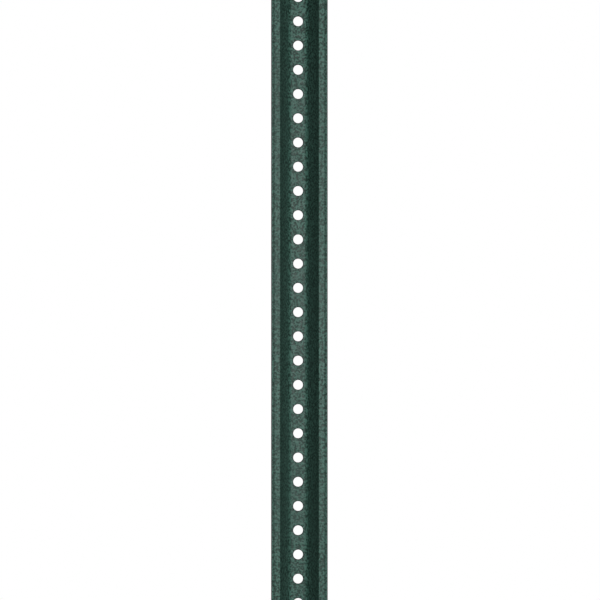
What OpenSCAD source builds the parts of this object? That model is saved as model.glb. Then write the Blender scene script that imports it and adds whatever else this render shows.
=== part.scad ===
// Light U-channel sign post: one rolled steel hat section, punched along its web and enamelled green.
// The channel opens towards -Y, which is the side that carries the sign. +Z is up.
// The origin is midway between the two stub bolts, on the back of the web.

/* [Post] */
// Length of the post
post_len = 1828.8; // [914.4:25.4:3657.6]
// Width over the two flanges
post_w = 58.7; // [55:0.1:66]
// Depth from the flange faces to the back of the web
post_depth = 27; // [23:0.5:34]

/* [Rolled section] */
// Thickness of the web
web_t = 2.7; // [2:0.1:4]
// Thickness of the side walls
wall_t = 2.1; // [1.6:0.1:3.4]
// Thickness of the flanges
flange_t = 2.6; // [2.3:0.1:4]
// Width of a flange face, from the mouth of the channel to the toe
flange_w = 9.45; // [8:0.05:12]
// Width of the channel floor, between the corners that its fillets round off
floor_w = 18.9; // [16:0.1:21]
// Radius in the channel, where the floor turns up into a wall
floor_fillet_r = 4.8; // [2:0.1:6]
// Radius on the back, where the web turns into a wall
back_corner_r = 4.5; // [2:0.1:6]
// Radius at the mouth of the channel, between a wall and a flange face
mouth_r = 1; // [0.4:0.1:2]
// Radius behind a flange, where it meets the wall
flange_fillet_r = 3; // [1:0.1:5]
// Radius on the two edges of each flange toe
toe_r = 1.1; // [0.3:0.05:1.1]
// Distance from a toe to the middle of the shallow groove that sets off its bead
groove_in = 2.7; // [2:0.1:4]
// Radius of that groove
groove_r = 0.9; // [0.7:0.1:2]
// Depth of that groove
groove_depth = 0.4; // [0.1:0.05:0.5]

/* [Holes] */
// Diameter of a hole
hole_d = 10.3; // [8:0.1:11.5]
// Distance from one hole to the next
hole_pitch = 25.4; // [20:0.1:50.8]
// Distance from the bottom end to the first hole, and at least from the last hole to the top end
end_margin = 25.4; // [12.7:0.1:50.8]
// Radius of the rim that the punch rolled over, in the channel
rim_r = 0.8; // [0.2:0.05:1]
// Depth of the flare on the back, where the slug broke out
breakout_depth = 0.5; // [0.2:0.05:1]
// Width of that flare
breakout_w = 0.15; // [0.05:0.05:0.4]
// Number of pitches between the two stub bolts
stub_pitches = 4; // [2:2:8]

/* [Hidden] */
enamel = [0.06, 0.26, 0.21];
curve_fn = 96;
overlap = 0.2; // how far a cut reaches past the face it opens
land = 0.25; // least flat steel between a hole's edge and the roundings beside it
hair = 0.001; // how much larger a disc is than its arc, so that it crosses the faces it rounds

mouth_x = post_w / 2 - flange_w;
wall_run = mouth_x - floor_w / 2;
wall_rise = post_depth - web_t;
wall_slant = norm([wall_run, wall_rise]);
// The back of a wall is its front moved out by the wall's thickness, square to it.
back_wall_x = floor_w / 2 + wall_t * wall_rise / wall_slant;
back_wall_y = -web_t + wall_t * wall_run / wall_slant;
bottom_z = -end_margin - hole_pitch * stub_pitches / 2;
// A hole needs flat steel around it, so the roundings beside the row give way to a wider one.
corner_tan = tan((90 + atan(wall_run / wall_rise)) / 2);
fillet_room = floor_w / 2 - hole_d / 2 - rim_r - land;
back_room = back_wall_at(0) - hole_d / 2 - breakout_w - land;
hole_count = floor((post_len - 2 * end_margin) / hole_pitch + 0.001) + 1;

// Where the back of the right wall lies at depth y.
function back_wall_at(y) = back_wall_x + (back_wall_y - y) * wall_run / wall_rise;

// The right half of the section with sharp corners, each point with the radius that rounds it.
// It runs from the channel floor out to the toe and back behind the flange to the web.
half_corners = [
    [[floor_w / 2, -web_t], min(floor_fillet_r, fillet_room * corner_tan)],
    [[mouth_x, -post_depth], mouth_r],
    [[post_w / 2, -post_depth], toe_r],
    [[post_w / 2, flange_t - post_depth], toe_r],
    [[back_wall_at(flange_t - post_depth), flange_t - post_depth], flange_fillet_r],
    [[back_wall_at(0), 0], min(back_corner_r, back_room * corner_tan)]
];

function mirrored(corner) = [[-corner[0][0], corner[0][1]], corner[1]];

corner_count = 2 * len(half_corners);
corners = [
    for (c = half_corners) c,
    for (i = [len(half_corners) - 1 : -1 : 0]) mirrored(half_corners[i])
];

// side is -1 for the neighbour before a corner and 1 for the one after it.
function unit(v) = v / norm(v);
function at(i) = corners[(i + corner_count) % corner_count][0];
function radius(i) = corners[i][1];
function along(i, side) = unit(at(i + side) - at(i));
function is_inward(i) = cross(at(i) - at(i - 1), at(i + 1) - at(i)) < 0;
function half_sine(i) = norm(along(i, -1) - along(i, 1)) / 2;
function centre(i) = at(i) + unit(along(i, -1) + along(i, 1)) * radius(i) / half_sine(i);
function touch(i, side) = at(i) + along(i, side) * ((centre(i) - at(i)) * along(i, side));
function past(i, side) = touch(i, side) + unit(touch(i, side) - centre(i)) * overlap;

// At an inward corner the outline runs out to the centre of its arc, and the disc is then cut out of it.
outline = [
    for (i = [0 : corner_count - 1])
        for (p = is_inward(i) ? [touch(i, -1), centre(i), touch(i, 1)] : [at(i)]) p
];

module disc(r) {
    circle(r = r + hair, $fn = curve_fn);
}

// The sharp tip that the arc takes off an outward corner.
module tip(i) {
    difference() {
        polygon([
            centre(i),
            past(i, -1),
            at(i) + unit(at(i) - centre(i)) * overlap / half_sine(i),
            past(i, 1)
        ]);
        translate(centre(i)) disc(radius(i));
    }
}

module section() {
    difference() {
        polygon(outline);
        for (i = [0 : corner_count - 1])
            if (is_inward(i)) translate(centre(i)) disc(radius(i));
            else tip(i);
        for (side = [-1, 1])
            translate([side * (post_w / 2 - groove_in), groove_depth - groove_r - post_depth])
                circle(r = groove_r, $fn = curve_fn);
    }
}

// What the punch takes out, turned about the hole's own axis, from the back of the web at z = 0.
// It flares where the slug broke out, runs straight, and rounds over at the rim in the channel.
module punched_hole() {
    hole_r = hole_d / 2;
    flare = breakout_w / breakout_depth;
    rim_z = web_t - rim_r;
    rotate([90, 0, 0])
        rotate_extrude($fn = curve_fn)
            difference() {
                polygon([
                    [0, -overlap],
                    [hole_r + (breakout_depth + overlap) * flare, -overlap],
                    [hole_r, breakout_depth],
                    [hole_r, rim_z],
                    [hole_r + rim_r, rim_z],
                    [hole_r + rim_r, web_t + overlap],
                    [0, web_t + overlap]
                ]);
                translate([hole_r + rim_r, rim_z]) disc(rim_r);
            }
}

module post() {
    color(enamel)
        difference() {
            translate([0, 0, bottom_z]) linear_extrude(post_len) section();
            for (i = [0 : hole_count - 1])
                translate([0, 0, bottom_z + end_margin + i * hole_pitch]) punched_hole();
        }
}

post();
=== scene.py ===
import math

import bmesh
import bpy
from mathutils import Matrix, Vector


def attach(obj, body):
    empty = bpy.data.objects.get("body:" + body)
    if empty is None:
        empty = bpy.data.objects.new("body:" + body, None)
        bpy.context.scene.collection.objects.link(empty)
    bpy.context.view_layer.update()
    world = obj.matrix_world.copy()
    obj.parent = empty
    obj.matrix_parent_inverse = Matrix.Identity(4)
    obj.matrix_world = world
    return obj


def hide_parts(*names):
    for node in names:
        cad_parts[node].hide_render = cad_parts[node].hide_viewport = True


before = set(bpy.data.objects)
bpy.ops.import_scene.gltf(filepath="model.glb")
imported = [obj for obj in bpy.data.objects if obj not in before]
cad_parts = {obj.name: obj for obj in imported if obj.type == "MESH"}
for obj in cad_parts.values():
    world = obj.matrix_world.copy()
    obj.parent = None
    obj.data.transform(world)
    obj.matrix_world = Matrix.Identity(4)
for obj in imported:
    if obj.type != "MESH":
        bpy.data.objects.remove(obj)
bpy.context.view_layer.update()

# The post: one length of light flanged channel, steel rolled hot into a hat section, sheared
# square at both ends and punched with a hole every inch of its web. It is held by bolts
# through those holes, and the sign lies on its two flange faces.

PITCH = 0.0254
HOLES = 71
MIDDLE_HOLE_Z = 0.8382
END_MARGIN = 0.0254
HOLE_R = 0.00515
RIM_R = 0.0008
FLARE_DEPTH = 0.0005
FLARE_WIDTH = 0.00015
WEB_T = 0.0027

# The right half of the rolled section, from the channel floor out round the toe and back
# behind the flange: x and y of each corner, the radius that rounds it, and its steps.
FACE_Y = -0.0270
UNDER_FLANGE_Y = -0.0244
TOE_X = 0.02935
CORNERS = [
    (0.00945, -WEB_T, 0.0048, 8),
    (0.0199, FACE_Y, 0.0010, 4),
    (TOE_X, FACE_Y, 0.0011, 4),
    (TOE_X, UNDER_FLANGE_Y, 0.0011, 4),
    (0.021068, UNDER_FLANGE_Y, 0.0030, 5),
    (0.010575, 0, 0.0045, 7),
]
MOUTH = 1
WALL_LEAN = math.radians(23.27)
# A shallow groove in each flange face sets off the bead along its toe.
GROOVE_X = 0.02665
GROOVE_R = 0.0009
GROOVE_DEPTH = 0.0004


def rolled_corner(before, corner, after, radius, steps):
    """Points of the arc that rounds a corner of the section."""
    to_before, to_after = (before - corner).normalized(), (after - corner).normalized()
    half = to_before.angle(to_after) / 2
    middle = corner + (to_before + to_after).normalized() * radius / math.sin(half)
    first = corner + to_before * radius / math.tan(half) - middle
    last = corner + to_after * radius / math.tan(half) - middle
    sweep = math.pi - 2 * half
    points = []
    for i in range(steps + 1):
        turn = i / steps * sweep
        spoke = first * math.sin(sweep - turn) + last * math.sin(turn)
        points.append(middle + spoke / math.sin(sweep))
    return points


groove_sweep = math.acos(1 - GROOVE_DEPTH / GROOVE_R)
groove = [
    Vector((GROOVE_X + GROOVE_R * math.sin(t * groove_sweep),
            FACE_Y + GROOVE_R * (math.cos(t * groove_sweep) - 1) + GROOVE_DEPTH))
    for t in (-1, -0.75, -0.5, -0.25, 0, 0.25, 0.5, 0.75, 1)
]
sharp = [Vector((0, -WEB_T))] + [Vector(c[:2]) for c in CORNERS] + [Vector((0, 0))]
half_section = []
for i, (_, _, radius, steps) in enumerate(CORNERS):
    half_section += rolled_corner(sharp[i], sharp[i + 1], sharp[i + 2], radius, steps)
    if i == MOUTH:
        half_section += groove


def select_edges(test):
    """Picks the piece's edges whose two ends both pass a test on x, y and z."""
    bpy.ops.mesh.select_mode(type="EDGE")
    bpy.ops.mesh.select_all(action="DESELECT")
    mesh = bmesh.from_edit_mesh(bpy.context.edit_object.data)
    for edge in mesh.edges:
        edge.select_set(all(test(*v.co) for v in edge.verts))
    bmesh.update_edit_mesh(bpy.context.edit_object.data)


SAME_PLACE = 2e-6


def near(a, b):
    return abs(a - b) < SAME_PLACE


def web_face(y, half_width, hole_r):
    """One pitch of a web flat: a frame, 16 edges across and 4 up, bridged to a ring of 40."""
    bpy.ops.mesh.select_all(action="DESELECT")
    bpy.ops.mesh.primitive_grid_add(
        x_subdivisions=16, y_subdivisions=4, size=1, location=(0, y, 0),
        rotation=(math.pi / 2, 0, 0),
    )
    bpy.ops.transform.resize(value=(2 * half_width, 1, PITCH), center_override=(0, y, 0))
    bpy.ops.mesh.select_mode(type="VERT")
    bpy.ops.mesh.select_all(action="DESELECT")
    mesh = bmesh.from_edit_mesh(bpy.context.edit_object.data)
    for v in mesh.verts:
        x, at_y, z = v.co
        inside = abs(x) < half_width - 1e-4 and abs(z) < PITCH / 2 - 1e-4
        v.select_set(near(at_y, y) and inside and not v.is_boundary and len(v.link_edges) == 4)
    bmesh.update_edit_mesh(bpy.context.edit_object.data)
    bpy.ops.mesh.delete(type="VERT")
    bpy.ops.mesh.primitive_circle_add(
        vertices=40, radius=hole_r, fill_type="NOTHING", location=(0, y, 0),
        rotation=(math.pi / 2, 0, 0),
    )
    select_edges(lambda x, at_y, z: near(at_y, y) and (
        near(math.hypot(x, z), hole_r) or near(abs(x), half_width) or near(abs(z), PITCH / 2)))
    bpy.ops.mesh.bridge_edge_loops()


bpy.ops.object.select_all(action="DESELECT")
bpy.ops.mesh.primitive_plane_add(size=0.001)
post = bpy.context.object
post.name = "steel_post"
bpy.ops.object.mode_set(mode="EDIT")
bpy.ops.mesh.select_all(action="SELECT")
bpy.ops.mesh.delete(type="VERT")

# The back of the web first, then the channel floor, whose ring is drawn in through the hole.
floor_flat, back_flat = half_section[0].x, half_section[-1].x
web_face(0, back_flat, HOLE_R + FLARE_WIDTH)
web_face(-WEB_T, floor_flat, HOLE_R + RIM_R)
select_edges(lambda x, y, z: near(y, -WEB_T) and near(math.hypot(x, z), HOLE_R + RIM_R))
ring_r, ring_y = HOLE_R + RIM_R, -WEB_T
hole_steps = [
    (HOLE_R + RIM_R * (1 - math.sin(math.radians(a))),
     -WEB_T + RIM_R * (1 - math.cos(math.radians(a))))
    for a in (22.5, 45, 67.5, 90)
] + [(HOLE_R, -FLARE_DEPTH), (HOLE_R + FLARE_WIDTH, 0)]
for next_r, next_y in hole_steps:
    bpy.ops.mesh.extrude_edges_move(TRANSFORM_OT_translate={"value": (0, next_y - ring_y, 0)})
    bpy.ops.transform.resize(value=(next_r / ring_r, 1, next_r / ring_r), center_override=(0, 0, 0))
    ring_r, ring_y = next_r, next_y

# The right wall and flange are drawn out of the floor's edge, point by point along the
# section, and back round to the web.
select_edges(lambda x, y, z: near(y, -WEB_T) and near(x, floor_flat))
for here, there in zip(half_section, half_section[1:]):
    bpy.ops.mesh.extrude_edges_move(
        TRANSFORM_OT_translate={"value": (there.x - here.x, there.y - here.y, 0)})
bpy.ops.mesh.select_all(action="SELECT")
bpy.ops.mesh.remove_doubles(threshold=SAME_PLACE)

# What the web's two faces have left of the middle goes, and the right half is mirrored.
bpy.ops.mesh.select_mode(type="FACE")
bpy.ops.mesh.select_all(action="DESELECT")
mesh = bmesh.from_edit_mesh(post.data)
for face in mesh.faces:
    face.select_set(face.calc_center_median().x < 0)
bmesh.update_edit_mesh(post.data)
bpy.ops.mesh.delete(type="FACE")
bpy.ops.object.mode_set(mode="OBJECT")

halves = post.modifiers.new("other half", "MIRROR")
halves.use_axis = (True, False, False)
halves.merge_threshold = SAME_PLACE
bpy.ops.object.modifier_apply(modifier=halves.name)
row = post.modifiers.new("hole row", "ARRAY")
row.count = HOLES
row.use_relative_offset = False
row.use_constant_offset = True
row.constant_offset_displace = (0, 0, PITCH)
row.use_merge_vertices = True
row.merge_threshold = SAME_PLACE
bpy.ops.object.modifier_apply(modifier=row.name)

# The row is set in place, and both ends are drawn out past the last hole and closed with
# the sheared face, whose edge the enamel rounds.
bpy.ops.object.mode_set(mode="EDIT")
bpy.ops.mesh.select_all(action="SELECT")
row_half = PITCH * (HOLES - 1) / 2
first_hole_z = MIDDLE_HOLE_Z - row_half
bpy.ops.transform.translate(value=(0, 0, first_hole_z))
END_ROUNDING = 0.0002
for end in (-1, 1):
    edge_z = MIDDLE_HOLE_Z + end * (row_half + PITCH / 2)
    select_edges(lambda x, y, z: near(z, edge_z))
    bpy.ops.mesh.extrude_edges_move(
        TRANSFORM_OT_translate={"value": (0, 0, end * (END_MARGIN - PITCH / 2 - END_ROUNDING))})
    bpy.ops.mesh.edge_face_add()
    bpy.ops.mesh.inset(thickness=END_ROUNDING, use_even_offset=True)
    bpy.ops.transform.translate(value=(0, 0, end * END_ROUNDING))
bpy.ops.mesh.select_all(action="SELECT")
bpy.ops.mesh.normals_make_consistent(inside=False)

# The flats of the section stay flat in the light right up to the roundings beside them.
flat_normals = [(0, 1), (1, 0), (math.cos(WALL_LEAN), math.sin(WALL_LEAN))]
bpy.ops.mesh.select_mode(type="FACE")
bpy.ops.mesh.select_all(action="DESELECT")
mesh = bmesh.from_edit_mesh(post.data)
for face in mesh.faces:
    x, y = abs(face.normal.x), abs(face.normal.y)
    face.select_set(any(x * fx + y * fy > 0.99999 for fx, fy in flat_normals))
bmesh.update_edit_mesh(post.data)
bpy.ops.mesh.mod_weighted_strength(set=True, face_strength="STRONG")
bpy.ops.mesh.select_all(action="INVERT")
bpy.ops.mesh.mod_weighted_strength(set=True, face_strength="WEAK")
bpy.ops.object.mode_set(mode="OBJECT")
bpy.ops.object.shade_smooth_by_angle(angle=math.radians(35))
flats = post.modifiers.new("flat faces", "WEIGHTED_NORMAL")
flats.keep_sharp = True
flats.use_face_influence = True
bpy.ops.object.modifier_apply(modifier=flats.name)

# The hole rims, the toes and the grooves in the flanges are painted darker, a painted shade,
# and their coat is rougher: those points are marked. The channel's walls are marked by how far
# up they lie, from 0 at the web to 1 at the mouth: they are painted darker towards the mouth, a
# painted shade, and their coat gets duller.
GROOVE_SHADE = 0.4
SKIN = 1e-5
painted_edge_shade = post.data.attributes.new("painted_edge_shade", "FLOAT", "POINT")
up_the_wall = post.data.attributes.new("up_the_wall", "FLOAT", "POINT")
for v in post.data.vertices:
    x, y, z = abs(v.co.x), v.co.y, v.co.z
    from_hole = (z - first_hole_z + PITCH / 2) % PITCH - PITCH / 2
    r = math.hypot(x, from_hole)
    dark = 0.0
    in_row = abs(z - MIDDLE_HOLE_Z) < row_half + PITCH / 2
    if in_row and -WEB_T - SKIN < y < -SKIN and r < HOLE_R + RIM_R - SKIN:
        dark = min(1.0, (HOLE_R + RIM_R - r) / (0.6 * RIM_R))
    if y < FACE_Y + 0.0008 and abs(x - GROOVE_X) < 0.0006:
        dark = GROOVE_SHADE
    if x > TOE_X - 0.00075:
        dark = 1.0
    painted_edge_shade.data[v.index].value = dark
    in_channel = x < 0.0102 + (-WEB_T - y) * math.tan(WALL_LEAN)
    if in_channel and FACE_Y + 0.00005 < y < -WEB_T - SKIN:
        up_the_wall.data[v.index].value = (-WEB_T - y) / (-WEB_T - FACE_Y)

# The enamel: one baked coat of dark green over the rolled skin of the steel, satin, with the
# fine orange peel of a dipped coat and faint streaks along the rolling. It is duller on the
# channel's walls and at the hole rims, toes and grooves, where it is also painted darker as shade.
enamel = bpy.data.materials.new("green_enamel")
enamel.use_nodes = True
nodes, links = enamel.node_tree.nodes, enamel.node_tree.links
shader = nodes["Principled BSDF"]
shader.inputs["Specular IOR Level"].default_value = 0.2

place = nodes.new("ShaderNodeTexCoord")


def grain(name, size, stretch, detail, rough):
    """A noise whose grain is this wide in metres, drawn out along the post by a stretch."""
    squeeze = nodes.new("ShaderNodeMapping")
    squeeze.inputs["Scale"].default_value = (1 / size, 1 / size, 1 / (size * stretch))
    noise = nodes.new("ShaderNodeTexNoise")
    noise.name = name
    noise.inputs["Scale"].default_value = 1
    noise.inputs["Detail"].default_value = detail
    noise.inputs["Roughness"].default_value = rough
    links.new(place.outputs["Object"], squeeze.inputs["Vector"])
    links.new(squeeze.outputs["Vector"], noise.inputs["Vector"])
    return noise.outputs["Fac"]


def ramp(value, low, high, to_low, to_high):
    """Spreads the part of a value between low and high over another range."""
    spread = nodes.new("ShaderNodeMapRange")
    spread.inputs["From Min"].default_value = low
    spread.inputs["From Max"].default_value = high
    spread.inputs["To Min"].default_value = to_low
    spread.inputs["To Max"].default_value = to_high
    links.new(value, spread.inputs["Value"])
    return spread.outputs["Result"]


def mix_colour(factor, first, second):
    """Goes from the first colour to the second as the factor goes from 0 to 1."""
    blend = nodes.new("ShaderNodeMix")
    blend.data_type = "RGBA"
    factor_socket, first_socket, second_socket, colour = 0, 6, 7, 2
    links.new(factor, blend.inputs[factor_socket])
    for socket, value in ((first_socket, first), (second_socket, second)):
        if isinstance(value, tuple):
            blend.inputs[socket].default_value = value
        else:
            links.new(value, blend.inputs[socket])
    return blend.outputs[colour]


peel = grain("orange_peel", 0.0022, 1, 1, 0.5)
mottle = grain("mottle", 0.0045, 1.4, 3, 0.6)
streaks = grain("rolling_streaks", 0.0011, 60, 2, 0.5)
patches = grain("patches", 0.07, 2.5, 2, 0.5)

thin_green = (0.013, 0.038, 0.028, 1)
full_green = (0.083, 0.196, 0.156, 1)
grey_green = (0.048, 0.104, 0.086, 1)
# The next two colours are painted shade: the walls towards the mouth, and the hole rims, toes and
# grooves.
painted_wall_shade_green = (0.004, 0.024, 0.016, 1)
painted_edge_shade_green = (0.004, 0.011, 0.009, 1)
coat = mix_colour(ramp(peel, 0.41, 0.6, 0, 1), thin_green, full_green)
coat = mix_colour(ramp(patches, 0.4, 0.65, 0, 0.45), coat, grey_green)
coat = mix_colour(ramp(streaks, 0.45, 0.75, 0, 0.25), coat, thin_green)
wall = nodes.new("ShaderNodeAttribute")
wall.attribute_name = "up_the_wall"
# Painted shade: the channel's walls are painted darker from the web towards the mouth.
coat = mix_colour(ramp(wall.outputs["Fac"], 0.1, 1, 0, 0.65), coat, painted_wall_shade_green)
marks = nodes.new("ShaderNodeAttribute")
marks.attribute_name = "painted_edge_shade"
# Painted shade: the hole rims, the toes and the flange grooves are painted near black.
coat = mix_colour(marks.outputs["Fac"], coat, painted_edge_shade_green)
links.new(coat, shader.inputs["Base Color"])
rougher = nodes.new("ShaderNodeMath")
rougher.operation = "MULTIPLY_ADD"
links.new(marks.outputs["Fac"], rougher.inputs[0])
rougher.inputs[1].default_value = 0.4
links.new(ramp(mottle, 0.3, 0.7, 0.38, 0.5), rougher.inputs[2])
dull = nodes.new("ShaderNodeMath")
links.new(rougher.outputs[0], dull.inputs[0])
links.new(ramp(wall.outputs["Fac"], 0, 0.3, 0, 0.45), dull.inputs[1])
links.new(dull.outputs[0], shader.inputs["Roughness"])

coarse = nodes.new("ShaderNodeBump")
coarse.inputs["Strength"].default_value = 1
coarse.inputs["Distance"].default_value = 0.0001
links.new(mottle, coarse.inputs["Height"])
fine = nodes.new("ShaderNodeBump")
fine.inputs["Strength"].default_value = 1
fine.inputs["Distance"].default_value = 0.0005
links.new(peel, fine.inputs["Height"])
links.new(coarse.outputs["Normal"], fine.inputs["Normal"])
links.new(fine.outputs["Normal"], shader.inputs["Normal"])

post.data.materials.append(enamel)
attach(post, "root")
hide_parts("post")

# The floor: a plain matt white board that the post's foot stands on. It glows a little for
# the camera and for the enamel's gloss, so that it looks pale, and it keeps the post's shadow.
FOOT_Z = first_hole_z - END_MARGIN
bpy.ops.object.select_all(action="DESELECT")
bpy.ops.mesh.primitive_plane_add(size=5, location=(0, 0, FOOT_Z))
floor = bpy.context.object
floor.name = "floor"
board = bpy.data.materials.new("white_board")
board.use_nodes = True
board_nodes, board_links = board.node_tree.nodes, board.node_tree.links
matt = board_nodes["Principled BSDF"]
matt.inputs["Base Color"].default_value = (0.5, 0.5, 0.5, 1)
matt.inputs["Roughness"].default_value = 1
matt.inputs["Specular IOR Level"].default_value = 0
matt.inputs["Emission Color"].default_value = (1, 1, 1, 1)


def rays_that_see(node_nodes, node_links):
    """1 for camera, glossy and transmission rays, and 0 for the rays that carry light."""
    path = node_nodes.new("ShaderNodeLightPath")
    seen = path.outputs["Is Camera Ray"]
    for ray in ("Is Glossy Ray", "Is Transmission Ray"):
        either = node_nodes.new("ShaderNodeMath")
        either.operation = "MAXIMUM"
        node_links.new(seen, either.inputs[0])
        node_links.new(path.outputs[ray], either.inputs[1])
        seen = either.outputs[0]
    return seen


def strength_by_ray(node_nodes, node_links, for_light, for_sight, socket):
    """Gives a socket one strength for the rays that carry light and another for those that see."""
    level = node_nodes.new("ShaderNodeMapRange")
    level.inputs["To Min"].default_value = for_light
    level.inputs["To Max"].default_value = for_sight
    node_links.new(rays_that_see(node_nodes, node_links), level.inputs["Value"])
    node_links.new(level.outputs["Result"], socket)


strength_by_ray(board_nodes, board_links, 0, 0.5, matt.inputs["Emission Strength"])
floor.data.materials.append(board)

# The room: white all round, and dimmer as a light than it looks, so that the lamps model
# the post.
room = bpy.data.worlds.new("white_room")
bpy.context.scene.world = room
room.use_nodes = True
sky = room.node_tree.nodes["Background"]
sky.inputs["Color"].default_value = (1, 1, 1, 1)
strength_by_ray(room.node_tree.nodes, room.node_tree.links, 0.14, 1.0, sky.inputs["Strength"])


def softbox(name, spot, width, power):
    """A square soft lamp that faces the middle of the post and stays out of the picture."""
    lamp = bpy.data.lights.new(name, "AREA")
    lamp.size = width
    lamp.energy = power
    stand = bpy.data.objects.new(name, lamp)
    bpy.context.scene.collection.objects.link(stand)
    stand.location = spot
    to_post = Vector((0, 0, 0.83)) - stand.location
    stand.rotation_euler = to_post.to_track_quat("-Z", "Y").to_euler()
    stand.visible_camera = False


# One lamp stands in front, a little to the right and level with the middle of the view, and
# one behind does the same for the post's back.
softbox("front_softbox", (0.22, -1.7, 0.86), 0.6, 16)
softbox("back_softbox", (-0.25, 1.9, 1.0), 1.0, 17)

# The camera stands a little to the left, level with the middle of the view.
CAMERA_TURN = math.radians(-3.35)
CAMERA_AWAY = 2.3
VIEW_WIDTH = 0.6293
VIEW_MIDDLE = Vector((0.0021, 0, 0.8255))
camera = bpy.data.cameras.new("camera")
camera.sensor_width = 36
camera.lens = camera.sensor_width * CAMERA_AWAY / VIEW_WIDTH
camera.clip_end = 50
tripod = bpy.data.objects.new("camera", camera)
bpy.context.scene.collection.objects.link(tripod)
tripod.location = VIEW_MIDDLE + CAMERA_AWAY * Vector(
    (math.sin(CAMERA_TURN), -math.cos(CAMERA_TURN), 0))
tripod.rotation_euler = (math.pi / 2, 0, CAMERA_TURN)
bpy.context.scene.camera = tripod
bpy.context.scene.view_settings.view_transform = "Standard"
